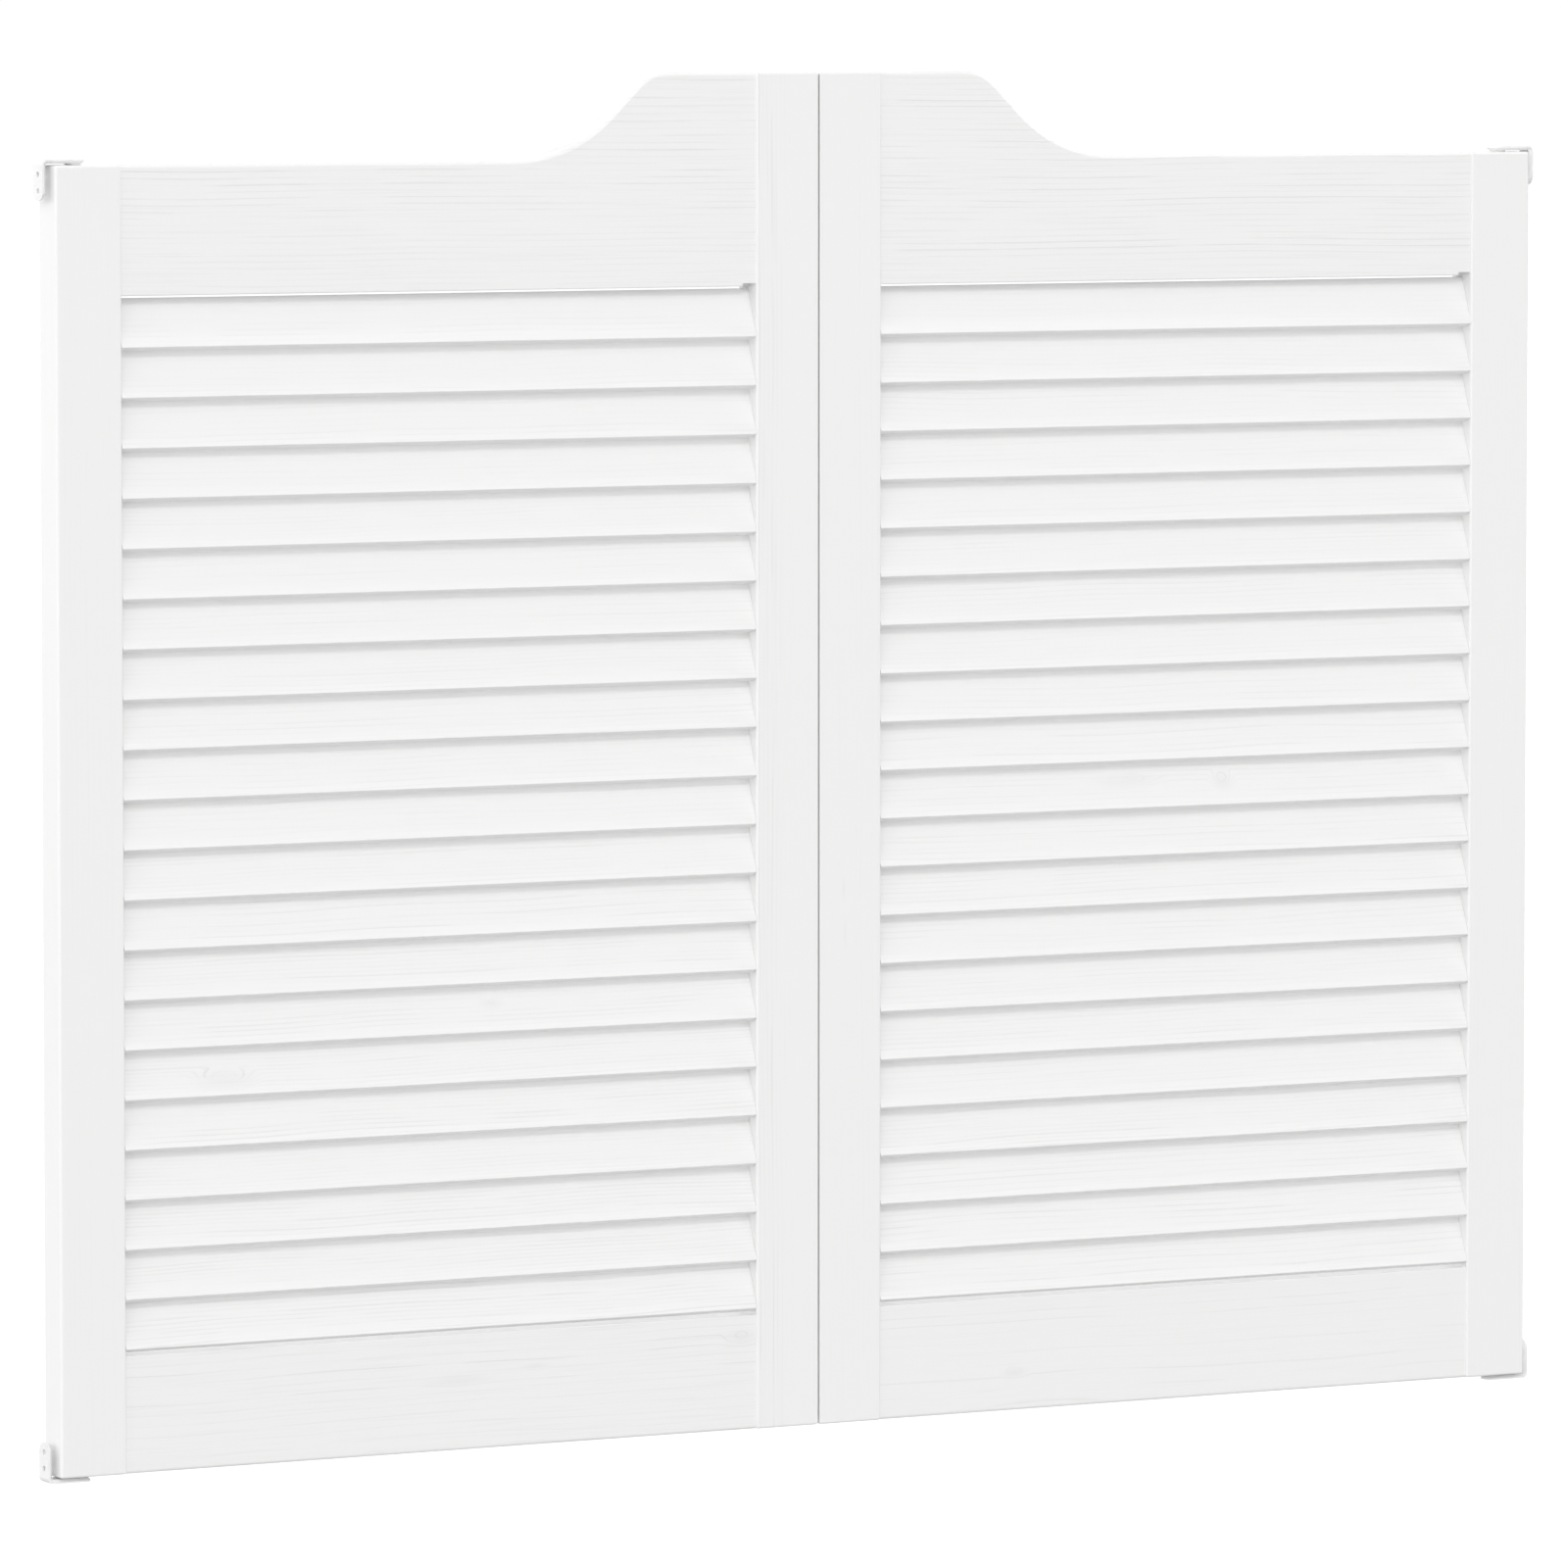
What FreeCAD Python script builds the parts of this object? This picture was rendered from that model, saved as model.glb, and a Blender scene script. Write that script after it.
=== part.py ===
import FreeCAD, Part
import math
import os
import re

import Sketcher
from FreeCAD import Placement, Rotation, Vector

# A pair of louvred swinging cafe doors in painted pine, with their jamb pivots.
#
# Frame, in millimetres: X runs across the doorway, with the left leaf at -X and
# the plane X = 0 between the two meeting stiles. Y runs through the thickness and
# the front is at -Y. Z = 0 is the underside of the two bottom jamb brackets.
#
# The left leaf is drawn, and the right leaf is its mirror image. Each leaf has
# two stiles, two slightly thinner rails, glued dowels, and fixed slats housed in
# the stiles with their lower edges flush with the front. It hangs on a pin at the
# top and turns on a sprung pin below.

SIZES = {
    # The leaves
    "leaf_width": 524.4,
    "meeting_gap": 1.2,
    "leaf_height": 796,
    "crown_rise": 54,
    "thickness": 24,
    "rail_thickness": 21,
    "stile_width": 44,
    "top_rail_height": 79.2,
    "bottom_rail_height": 72.2,
    "outer_arris": 2,
    "meeting_arris": 0.6,
    "inner_arris": 1.5,
    "rail_inner_arris": 0.8,
    "end_arris": 1.5,
    # The top rail's upper edge, from the outer stile inwards
    "shoulder_run": 268,
    "cove_radius": 98,
    "flank_length": 25,
    "crown_radius": 30,
    "nick_length": 9,
    "nick_height": 2,
    "nick_depth": 8,
    # The slats
    "slat_count": 21,
    "slat_pitch": 30.47,
    "first_slat_drop": 110.4,
    "slat_width": 32,
    "slat_thickness": 6.5,
    "slat_tilt": 21,
    "slat_arris": 0.6,
    "tongue_width": 18,
    "tongue_length": 6,
    "slat_end_gap": 0.02,
    "slot_clearance": 0.15,
    # The dowels
    "dowel_diameter": 8,
    "dowel_length": 40,
    "dowel_in_stile": 18,
    "dowel_chamfer": 1,
    "dowel_bore_spare": 0.5,
    "dowel_clearance": 0.05,
    "dowel_inset": 20,
    "top_dowel_spacing": 40,
    # The jamb brackets and their pins
    "bracket_thickness": 2.5,
    "bracket_width": 14,
    "bracket_height": 25,
    "bracket_nose": 7,
    "bracket_corner": 6.5,
    "bend_radius": 1,
    "screw_hole_diameter": 3.5,
    "screw_hole_spacing": 10,
    "first_screw_height": 9,
    "countersink_depth": 1.5,
    "jamb_gap": 3.5,
    "pivot_inset": 17,
    "pin_diameter": 6,
    "pin_reach": 34,
    "pin_chamfer": 1,
    "rivet_diameter": 5,
    "collar_diameter": 10,
    "collar_height": 0.8,
    "collar_gap": 0.2,
    # The bush at the top and the spring barrel at the bottom of each leaf
    "pin_clearance": 0.06,
    "bush_diameter": 12,
    "bush_length": 36,
    "barrel_diameter": 14,
    "barrel_bore": 11,
    "barrel_length": 44,
    "barrel_cap": 8,
    "barrel_plug": 6,
    "pocket_clearance": 0.05,
    # The torsion spring round each bottom pin
    "wire_diameter": 1.2,
    "spring_radius": 4.3,
    "spring_pitch": 1.5,
    "spring_turns": 14,
    "spring_start": 10,
    "spring_hole_diameter": 1.6,
    "spring_tang": 6.8,
}

TOP_INNER_DOWELS = 3
TOP_OUTER_DOWELS = 2
BOTTOM_DOWELS = 2

doc = FreeCAD.newDocument("cafe_doors")
sheet = doc.addObject("Spreadsheet::Sheet", "Sizes")
for row, (alias, number) in enumerate(SIZES.items(), 1):
    sheet.set(f"A{row}", alias)
    sheet.set(f"B{row}", str(number))
    sheet.setAlias(f"B{row}", alias)
doc.recompute()

# ---------------------------------------------------------------- formulas

SLAT_TURNED_DEPTH = "(slat_thickness * cos(slat_tilt) + slat_width * sin(slat_tilt))"
SLAT_TURNED_RISE = "(slat_width * cos(slat_tilt) - slat_thickness * sin(slat_tilt))"
SLAT_CENTRE_Y = f"(({SLAT_TURNED_DEPTH} - thickness) / 2)"
FIRST_SLAT_Z = f"(leaf_height - first_slat_drop + {SLAT_TURNED_RISE} / 2)"
LAST_SLAT_Z = f"({FIRST_SLAT_Z} - (slat_count - 1) * slat_pitch)"
RAIL_LENGTH = "(leaf_width - 2 * stile_width)"
TOP_RAIL_Z = "(leaf_height - top_rail_height)"
LEAF_BASE = "(bracket_thickness + collar_height + collar_gap)"
OUTER_EDGE = "(leaf_width + meeting_gap / 2)"
BOTTOM_DOWEL_SPACING = "(bottom_rail_height - 2 * dowel_inset)"
DOWEL_BORE = "(dowel_diameter / 2 + dowel_clearance)"


def with_sheet(formula):
    """Puts the sheet's name before each alias in a formula."""
    return re.sub(r"[a-z_]+", lambda word: f"Sizes.{word.group()}" if word.group() in SIZES
                  else word.group(), formula)


def bind(item, path, formula):
    """Drives one property of an object by a formula of the sheet's cells."""
    item.setExpression(path, with_sheet(formula))


def place(item, x="0", y="0", z="0", axis=Vector(0, 0, 1), angle="0"):
    """Sets a sub-part's Placement, with its parts bound to the sheet."""
    item.Placement = Placement(Vector(), Rotation(axis, 1))
    bind(item, "Placement.Rotation.Angle", angle)
    bind(item, "Placement.Base.x", x)
    bind(item, "Placement.Base.y", y)
    bind(item, "Placement.Base.z", z)


# ------------------------------------------------- sketches and features


def new_body(name):
    body = doc.addObject("PartDesign::Body", name)
    body.Label = name
    return body


def origin_item(body, role):
    return next(item for item in body.Origin.OriginFeatures if item.Role == role)


def new_sketch(body, plane, x="0", y="0", z="0", turned="0"):
    """A sketch on a plane of the body's origin, shifted along that plane's own
    axes and turned clockwise about its normal."""
    sketch = body.newObject("Sketcher::SketchObject", f"{body.Name}_sketch")
    sketch.AttachmentSupport = (origin_item(body, plane), [""])
    sketch.MapMode = "FlatFace"
    sketch.AttachmentOffset = Placement(Vector(), Rotation(Vector(0, 0, -1), 1))
    bind(sketch, "AttachmentOffset.Rotation.Angle", turned)
    bind(sketch, "AttachmentOffset.Base.x", x)
    bind(sketch, "AttachmentOffset.Base.y", y)
    bind(sketch, "AttachmentOffset.Base.z", z)
    return sketch


def driven(sketch, name, formula, *constraint):
    """Adds a dimension with a name and binds it to the sheet."""
    index = sketch.addConstraint(Sketcher.Constraint(*constraint))
    sketch.renameConstraint(index, name)
    bind(sketch, f"Constraints.{name}", formula)


def closed_outline(sketch, points):
    """Straight edges through the points, joined into a loop."""
    for start, end in zip(points, points[1:] + points[:1]):
        sketch.addGeometry(Part.LineSegment(start, end))
    for edge in range(len(points)):
        following = (edge + 1) % len(points)
        sketch.addConstraint(Sketcher.Constraint("Coincident", edge, 2, following, 1))


def rectangle(sketch, width, height):
    """A rectangle centred on the sketch's origin."""
    closed_outline(sketch, [Vector(-9, -9), Vector(9, -9), Vector(9, 9), Vector(-9, 9)])
    for edge, way in enumerate(("Horizontal", "Vertical", "Horizontal", "Vertical")):
        sketch.addConstraint(Sketcher.Constraint(way, edge))
    sketch.addConstraint(Sketcher.Constraint("Symmetric", 0, 1, 1, 2, -1, 1))
    driven(sketch, "width", width, "DistanceX", 0, 1, 0, 2, 18)
    driven(sketch, "height", height, "DistanceY", 1, 1, 1, 2, 18)


def circles(sketch, radius, heights=("0",)):
    """Circles on the sketch's vertical axis, at the given heights above its origin."""
    for index, height in enumerate(heights):
        sketch.addGeometry(Part.Circle(Vector(0, 20 * index, 0), Vector(0, 0, 1), 3))
        driven(sketch, f"radius_{index}", radius, "Radius", index, 3)
        if height == "0":
            sketch.addConstraint(Sketcher.Constraint("Coincident", index, 3, -1, 1))
        else:
            sketch.addConstraint(Sketcher.Constraint("PointOnObject", index, 3, -2))
            driven(sketch, f"height_{index}", height, "DistanceY", -1, 1, index, 3, 20 * index)


def extrude(body, sketch, length, both_ways=False):
    pad = body.newObject("PartDesign::Pad", f"{body.Name}_pad")
    pad.Profile = sketch
    pad.SideType = "Symmetric" if both_ways else "One side"
    bind(pad, "Length", length)
    doc.recompute()
    return pad


def cut(body, sketch, depth, reverse=False, both_ways=False):
    """A pocket, which must take something away."""
    before = body.Shape.Volume
    pocket = body.newObject("PartDesign::Pocket", f"{body.Name}_pocket")
    pocket.Profile = sketch
    pocket.SideType = "Symmetric" if both_ways else "One side"
    pocket.Reversed = reverse
    bind(pocket, "Length", depth)
    doc.recompute()
    if body.Shape.Volume >= before:
        raise RuntimeError(f"{body.Name}: a pocket cuts nothing")
    return pocket


def dress(body, kind, size, chosen):
    """Rounds or chamfers the edges of the last feature that the test picks."""
    base = body.Tip
    names = [f"Edge{index}" for index, edge in enumerate(base.Shape.Edges, 1) if chosen(edge)]
    feature = body.newObject(f"PartDesign::{kind}", f"{body.Name}_{kind.lower()}")
    feature.Base = (base, names)
    bind(feature, "Radius" if kind == "Fillet" else "Size", size)
    doc.recompute()
    return feature


def size(alias):
    return float(sheet.get(alias))


def runs_along(edge, way):
    """True for a straight edge along a direction."""
    ends = edge.lastVertex().Point - edge.firstVertex().Point
    return edge.Curve.TypeId == "Part::GeomLine" and abs(abs(ends.dot(way)) - edge.Length) < 1e-6


def at(edge, axis, place_on_axis):
    """True for an edge that lies whole at one place on an axis, 0 for X to 2 for Z."""
    box = edge.BoundBox
    low = (box.XMin, box.YMin, box.ZMin)[axis]
    high = (box.XMax, box.YMax, box.ZMax)[axis]
    return abs(low - place_on_axis) < 1e-4 and abs(high - place_on_axis) < 1e-4


# ------------------------------------------------------------ stiles, rails


def dowel_heights(first, spacing, count):
    return [f"{first} + {index} * {spacing}" for index in range(count)]


def make_stile(name, height, facing, top_dowels, edge_arris, pivot):
    """A stile that stands on Z = 0 with its plain edge at X = 0. facing is 1 where
    its slotted inner edge faces +X, and -1 where it faces -X."""
    body = new_body(name)
    inner = f"{facing} * stile_width"
    plan = new_sketch(body, "XY_Plane", x=f"{inner} / 2")
    rectangle(plan, "stile_width", "thickness")
    extrude(body, plan, height)

    inner_x = facing * size("stile_width")
    upright = Vector(0, 0, 1)
    dress(body, "Fillet", "inner_arris", lambda edge: runs_along(edge, upright) and at(edge, 0, inner_x))
    dress(body, "Fillet", edge_arris, lambda edge: runs_along(edge, upright) and at(edge, 0, 0))
    top = body.Shape.BoundBox.ZMax
    dress(body, "Fillet", "end_arris", lambda edge: at(edge, 2, top) or at(edge, 2, 0))

    slot = new_sketch(body, "YZ_Plane", SLAT_CENTRE_Y, LAST_SLAT_Z, inner, "slat_tilt")
    rectangle(slot, "slat_thickness + 2 * slot_clearance", "tongue_width + 2 * slot_clearance")
    pocket = cut(body, slot, "tongue_length + slot_clearance", reverse=facing < 0)
    row = body.newObject("PartDesign::LinearPattern", f"{name}_slots")
    row.Originals = [pocket]
    row.Direction = (origin_item(body, "Z_Axis"), [""])
    row.Mode = "Spacing"
    bind(row, "Offset", "slat_pitch")
    bind(row, "Occurrences", "slat_count")
    body.Tip = row
    doc.recompute()

    bores = new_sketch(body, "YZ_Plane", z=inner)
    heights = dowel_heights(f"{TOP_RAIL_Z} + dowel_inset", "top_dowel_spacing", top_dowels)
    heights += dowel_heights("dowel_inset", BOTTOM_DOWEL_SPACING, BOTTOM_DOWELS)
    circles(bores, DOWEL_BORE, heights)
    cut(body, bores, "dowel_in_stile + dowel_bore_spare", reverse=facing < 0)

    if pivot:
        barrel = new_sketch(body, "XY_Plane", x="pivot_inset")
        circles(barrel, "barrel_diameter / 2 + pocket_clearance")
        cut(body, barrel, "barrel_length + dowel_bore_spare", reverse=True)
        bush = new_sketch(body, "XY_Plane", x="pivot_inset", z=height)
        circles(bush, "bush_diameter / 2 + pocket_clearance")
        cut(body, bush, "bush_length + dowel_bore_spare")
    return body


def bore_rail_ends(body, left_count, right_count, spacing):
    """Dowel bores in both shoulders of a rail, the left one at X = 0."""
    depth = "dowel_length - dowel_in_stile + dowel_bore_spare"
    for count, x, reverse in ((left_count, "0", True), (right_count, RAIL_LENGTH, False)):
        bores = new_sketch(body, "YZ_Plane", z=x)
        circles(bores, DOWEL_BORE, dowel_heights("dowel_inset", spacing, count))
        cut(body, bores, depth, reverse=reverse)


def round_rail(body, slat_side):
    """Eases the long edges of a rail, front and back, but not its shoulders. The
    two edges on the slats' side, at that height, are eased less."""
    half = size("rail_thickness") / 2
    upright = Vector(0, 0, 1)

    def is_long(edge):
        return (at(edge, 1, -half) or at(edge, 1, half)) and not runs_along(edge, upright)

    dress(body, "Fillet", "outer_arris", lambda edge: is_long(edge) and not at(edge, 2, slat_side))
    dress(body, "Fillet", "rail_inner_arris", lambda edge: is_long(edge) and at(edge, 2, slat_side))


def make_top_rail(name, nick_at_crown):
    """The top rail, with its lower left corner at the origin. Its upper edge runs
    level from the outer shoulder, then up a cove, a straight flank and a round
    crown to the higher inner shoulder. The slot cutter's run-out left a nick in
    the front of the lower corner at one end."""
    body = new_body(name)
    sketch = new_sketch(body, "XZ_Plane")
    length = size("leaf_width") - 2 * size("stile_width")
    low = size("top_rail_height")
    rise = size("crown_rise")
    cove = size("cove_radius")
    crown = size("crown_radius")
    flank = size("flank_length")
    start = size("shoulder_run")

    # The slope of the flank is where cove, flank and crown add up to the rise.
    slope = 0.5
    for _ in range(30):
        climbed = (cove + crown) * (1 - math.cos(slope)) + flank * math.sin(slope)
        slope -= (climbed - rise) / ((cove + crown) * math.sin(slope) + flank * math.cos(slope))
    cove_centre = Vector(start, low + cove)
    flank_foot = cove_centre + Vector(cove * math.sin(slope), -cove * math.cos(slope))
    flank_head = flank_foot + Vector(flank * math.cos(slope), flank * math.sin(slope))
    crown_centre = flank_head + Vector(crown * math.sin(slope), -crown * math.cos(slope))
    crown_top = crown_centre + Vector(0, crown)

    up = Vector(0, 0, 1)
    quarter = math.pi / 2
    sketch.addGeometry(Part.LineSegment(Vector(0, 0), Vector(length, 0)))
    sketch.addGeometry(Part.LineSegment(Vector(length, 0), Vector(length, low + rise)))
    sketch.addGeometry(Part.LineSegment(Vector(length, low + rise), crown_top))
    sketch.addGeometry(Part.ArcOfCircle(Part.Circle(crown_centre, up, crown), quarter, quarter + slope))
    sketch.addGeometry(Part.LineSegment(flank_head, flank_foot))
    sketch.addGeometry(Part.ArcOfCircle(Part.Circle(cove_centre, up, cove), -quarter, slope - quarter))
    sketch.addGeometry(Part.LineSegment(Vector(start, low), Vector(0, low)))
    sketch.addGeometry(Part.LineSegment(Vector(0, low), Vector(0, 0)))

    sketch.addConstraint(Sketcher.Constraint("Coincident", 0, 1, -1, 1))
    for first, last in ((0, 1), (1, 2), (6, 7), (7, 0)):
        sketch.addConstraint(Sketcher.Constraint("Coincident", first, 2, last, 1))
    sketch.addConstraint(Sketcher.Constraint("Tangent", 2, 2, 3, 1))
    sketch.addConstraint(Sketcher.Constraint("Tangent", 3, 2, 4, 1))
    sketch.addConstraint(Sketcher.Constraint("Tangent", 4, 2, 5, 2))
    sketch.addConstraint(Sketcher.Constraint("Tangent", 5, 1, 6, 1))
    for edge, way in ((0, "Horizontal"), (1, "Vertical"), (2, "Horizontal"), (6, "Horizontal"),
                      (7, "Vertical")):
        sketch.addConstraint(Sketcher.Constraint(way, edge))
    driven(sketch, "length", RAIL_LENGTH, "DistanceX", 0, 1, 0, 2, length)
    driven(sketch, "high_side", "top_rail_height + crown_rise", "DistanceY", 1, 1, 1, 2, low + rise)
    driven(sketch, "low_side", "top_rail_height", "DistanceY", 7, 2, 7, 1, low)
    driven(sketch, "shoulder", "shoulder_run", "DistanceX", 6, 2, 6, 1, start)
    driven(sketch, "crown", "crown_radius", "Radius", 3, crown)
    driven(sketch, "flank", "flank_length", "Distance", 4, flank)
    driven(sketch, "cove", "cove_radius", "Radius", 5, cove)
    extrude(body, sketch, "rail_thickness", both_ways=True)
    round_rail(body, 0)

    nick_x = f"{RAIL_LENGTH} - nick_length / 2" if nick_at_crown else "nick_length / 2"
    nick = new_sketch(body, "XZ_Plane", x=nick_x, z="rail_thickness / 2")
    rectangle(nick, "nick_length", "2 * nick_height")
    cut(body, nick, "nick_depth")
    bore_rail_ends(body, TOP_OUTER_DOWELS, TOP_INNER_DOWELS, "top_dowel_spacing")
    return body


def make_bottom_rail(name):
    """The bottom rail, with its lower left corner at the origin."""
    body = new_body(name)
    face = new_sketch(body, "XZ_Plane", f"{RAIL_LENGTH} / 2", "bottom_rail_height / 2")
    rectangle(face, RAIL_LENGTH, "bottom_rail_height")
    extrude(body, face, "rail_thickness", both_ways=True)
    round_rail(body, size("bottom_rail_height"))
    bore_rail_ends(body, BOTTOM_DOWELS, BOTTOM_DOWELS, BOTTOM_DOWEL_SPACING)
    return body


# ------------------------------------------------------------ slats, dowels


def make_slat():
    """One slat about its own centre, upright, with its front face at -Y. A tongue
    at each end is narrower than the blade, so that the blade hides the slot."""
    body = new_body("slat_pattern")
    blade = new_sketch(body, "XZ_Plane")
    rectangle(blade, f"{RAIL_LENGTH} - 2 * slat_end_gap", "slat_width")
    extrude(body, blade, "slat_thickness", both_ways=True)
    along = Vector(1, 0, 0)
    dress(body, "Fillet", "slat_arris", lambda edge: runs_along(edge, along))
    tongue = new_sketch(body, "XZ_Plane")
    rectangle(tongue, f"{RAIL_LENGTH} + 2 * tongue_length", "tongue_width")
    extrude(body, tongue, "slat_thickness", both_ways=True)
    return body


def make_dowel():
    """A dowel along X, centred on the joint's shoulder line at X = 0."""
    body = new_body("dowel_pattern")
    end = new_sketch(body, "YZ_Plane", z="-dowel_in_stile")
    circles(end, "dowel_diameter / 2")
    extrude(body, end, "dowel_length")
    dress(body, "Chamfer", "dowel_chamfer", lambda edge: edge.Curve.TypeId == "Part::GeomCircle")
    return body


# ------------------------------------------------------------ hardware


def make_bracket():
    """A folded plate for the lower left corner. Its foot lies under the leaf, its
    upright lies on the jamb, and X = 0 is the leaf's outer edge."""
    body = new_body("bracket_pattern")
    foot_x = "(jamb_gap + bracket_thickness)"
    foot = new_sketch(body, "XZ_Plane", f"(pivot_inset + bracket_nose - {foot_x}) / 2",
                      "bracket_thickness / 2")
    rectangle(foot, f"pivot_inset + bracket_nose + {foot_x}", "bracket_thickness")
    extrude(body, foot, "bracket_width", both_ways=True)
    upright = new_sketch(body, "XZ_Plane", "-jamb_gap - bracket_thickness / 2", "bracket_height / 2")
    rectangle(upright, "bracket_thickness", "bracket_height")
    extrude(body, upright, "bracket_width", both_ways=True)

    across = Vector(0, 1, 0)
    thickness = size("bracket_thickness")
    inner_x = -size("jamb_gap")
    outer_x = inner_x - thickness
    nose_x = size("pivot_inset") + size("bracket_nose")
    dress(body, "Fillet", "bend_radius", lambda edge: runs_along(edge, across)
          and at(edge, 0, inner_x) and at(edge, 2, thickness))
    dress(body, "Fillet", "bend_radius + bracket_thickness", lambda edge: runs_along(edge, across)
          and at(edge, 0, outer_x) and at(edge, 2, 0))
    dress(body, "Fillet", "bracket_corner", lambda edge: runs_along(edge, Vector(0, 0, 1))
          and at(edge, 0, nose_x))
    dress(body, "Fillet", "bracket_corner", lambda edge: runs_along(edge, Vector(1, 0, 0))
          and at(edge, 2, size("bracket_height")))

    screws = new_sketch(body, "YZ_Plane", z="-jamb_gap")
    circles(screws, "screw_hole_diameter / 2",
            dowel_heights("first_screw_height", "screw_hole_spacing", 2))
    cut(body, screws, "bracket_thickness")
    rivet = new_sketch(body, "XY_Plane", x="pivot_inset")
    circles(rivet, "rivet_diameter / 2")
    cut(body, rivet, "bracket_thickness", reverse=True)
    dress(body, "Chamfer", "countersink_depth", lambda edge: at(edge, 0, inner_x)
          and edge.Curve.TypeId == "Part::GeomCircle")
    return body


def make_pin():
    """A collared pivot pin, standing on the underside of its bracket at Z = 0. A
    cross hole takes the inner end of the spring."""
    body = new_body("pin_pattern")
    stem_foot = "bracket_thickness + collar_height"
    for radius, z, length in (
        ("rivet_diameter / 2", "0", "bracket_thickness"),
        ("collar_diameter / 2", "bracket_thickness", "collar_height"),
        ("pin_diameter / 2", stem_foot, "collar_gap + pin_reach"),
    ):
        section = new_sketch(body, "XY_Plane", z=z)
        circles(section, radius)
        extrude(body, section, length)
    tip = body.Shape.BoundBox.ZMax
    dress(body, "Chamfer", "pin_chamfer", lambda edge: at(edge, 2, tip))
    cross = new_sketch(body, "YZ_Plane", y=f"{LEAF_BASE} + spring_start")
    circles(cross, "spring_hole_diameter / 2")
    cut(body, cross, "2 * pin_diameter", both_ways=True)
    return body


def make_bush():
    """The top bush, standing on Z = 0."""
    body = new_body("left_top_bush")
    ring = new_sketch(body, "XY_Plane")
    circles(ring, "bush_diameter / 2")
    extrude(body, ring, "bush_length")
    bore = new_sketch(body, "XY_Plane")
    circles(bore, "pin_diameter / 2 + pin_clearance")
    cut(body, bore, "bush_length", reverse=True)
    return body


def make_barrel():
    """The spring barrel, standing on Z = 0: a tube whose lower cap is the bearing
    for the pin and whose upper plug takes the spring's thrust."""
    body = new_body("left_spring_barrel")
    outside = new_sketch(body, "XY_Plane")
    circles(outside, "barrel_diameter / 2")
    extrude(body, outside, "barrel_length")
    bearing = new_sketch(body, "XY_Plane")
    circles(bearing, "pin_diameter / 2 + pin_clearance")
    cut(body, bearing, "barrel_cap + barrel_plug", reverse=True)

    chamber = body.newObject("PartDesign::SubtractiveCylinder", "spring_chamber")
    bind(chamber, "Radius", "barrel_bore / 2")
    bind(chamber, "Height", "barrel_length - barrel_cap - barrel_plug")
    chamber.AttachmentSupport = (origin_item(body, "XY_Plane"), [""])
    chamber.MapMode = "FlatFace"
    bind(chamber, "AttachmentOffset.Base.z", "barrel_cap")
    doc.recompute()
    return body


def make_spring():
    """The torsion spring about Z. Its coils start at Z = 0, where a straight end
    runs in through the pin."""
    wire_radius = size("wire_diameter") / 2
    mean_radius = size("spring_radius")
    pitch = size("spring_pitch")
    helix = Part.makeHelix(pitch, pitch * size("spring_turns"), mean_radius)
    section = Part.Wire(Part.makeCircle(wire_radius, Vector(mean_radius, 0, 0), Vector(0, 1, 0)))
    coils = Part.Wire(helix.Edges).makePipeShell([section], True, True)
    end = Part.makeCylinder(wire_radius, size("spring_tang") + wire_radius,
                            Vector(mean_radius + wire_radius, 0, 0), Vector(-1, 0, 0))
    spring = doc.addObject("Part::Feature", "spring_pattern")
    spring.Shape = coils.fuse(end).removeSplitter()
    return spring


# ------------------------------------------------------------ the assembly

sub_parts = []


def keep(item, name):
    """Registers a sub-part under its node name."""
    item.Label = name
    sub_parts.append(item)
    return item


def clone(pattern, name):
    """A body with the pattern's shape and a Placement of its own."""
    body = new_body(name)
    copy = body.newObject("PartDesign::FeatureBase", f"{name}_copy")
    copy.BaseFeature = pattern
    body.Tip = copy
    return body


def mirrored(item, name):
    """The same piece on the other side of X = 0."""
    mirror = doc.addObject("Part::Mirroring", name)
    mirror.Source = item
    mirror.Base = Vector()
    mirror.Normal = Vector(1, 0, 0)
    return mirror


def group(name, items):
    """Identical pieces that share one node."""
    compound = doc.addObject("Part::Compound", name)
    compound.Links = items
    return keep(compound, name)


outer_stile = make_stile("left_outer_stile", "leaf_height", 1, TOP_OUTER_DOWELS,
                         "outer_arris", pivot=True)
inner_stile = make_stile("left_inner_stile", "leaf_height + crown_rise", -1, TOP_INNER_DOWELS,
                         "meeting_arris", pivot=False)
top_rail = make_top_rail("left_top_rail", nick_at_crown=True)
top_rail_other = make_top_rail("top_rail_other_hand", nick_at_crown=False)
bottom_rail = make_bottom_rail("left_bottom_rail")
top_bush = make_bush()
spring_barrel = make_barrel()

place(outer_stile, x=f"-{OUTER_EDGE}", z=LEAF_BASE)
place(inner_stile, x="-meeting_gap / 2", z=LEAF_BASE)
for rail in (top_rail, top_rail_other):
    place(rail, x=f"stile_width - {OUTER_EDGE}", z=f"{LEAF_BASE} + {TOP_RAIL_Z}")
place(bottom_rail, x=f"stile_width - {OUTER_EDGE}", z=LEAF_BASE)
place(top_bush, x=f"pivot_inset - {OUTER_EDGE}", z=f"{LEAF_BASE} + leaf_height - bush_length")
place(spring_barrel, x=f"pivot_inset - {OUTER_EDGE}", z=LEAF_BASE)

for left in (outer_stile, inner_stile, bottom_rail, top_bush, spring_barrel):
    keep(left, left.Name)
    keep(mirrored(left, left.Name.replace("left", "right")), left.Name.replace("left", "right"))
keep(top_rail, "left_top_rail")
keep(mirrored(top_rail_other, "right_top_rail"), "right_top_rail")

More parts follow.
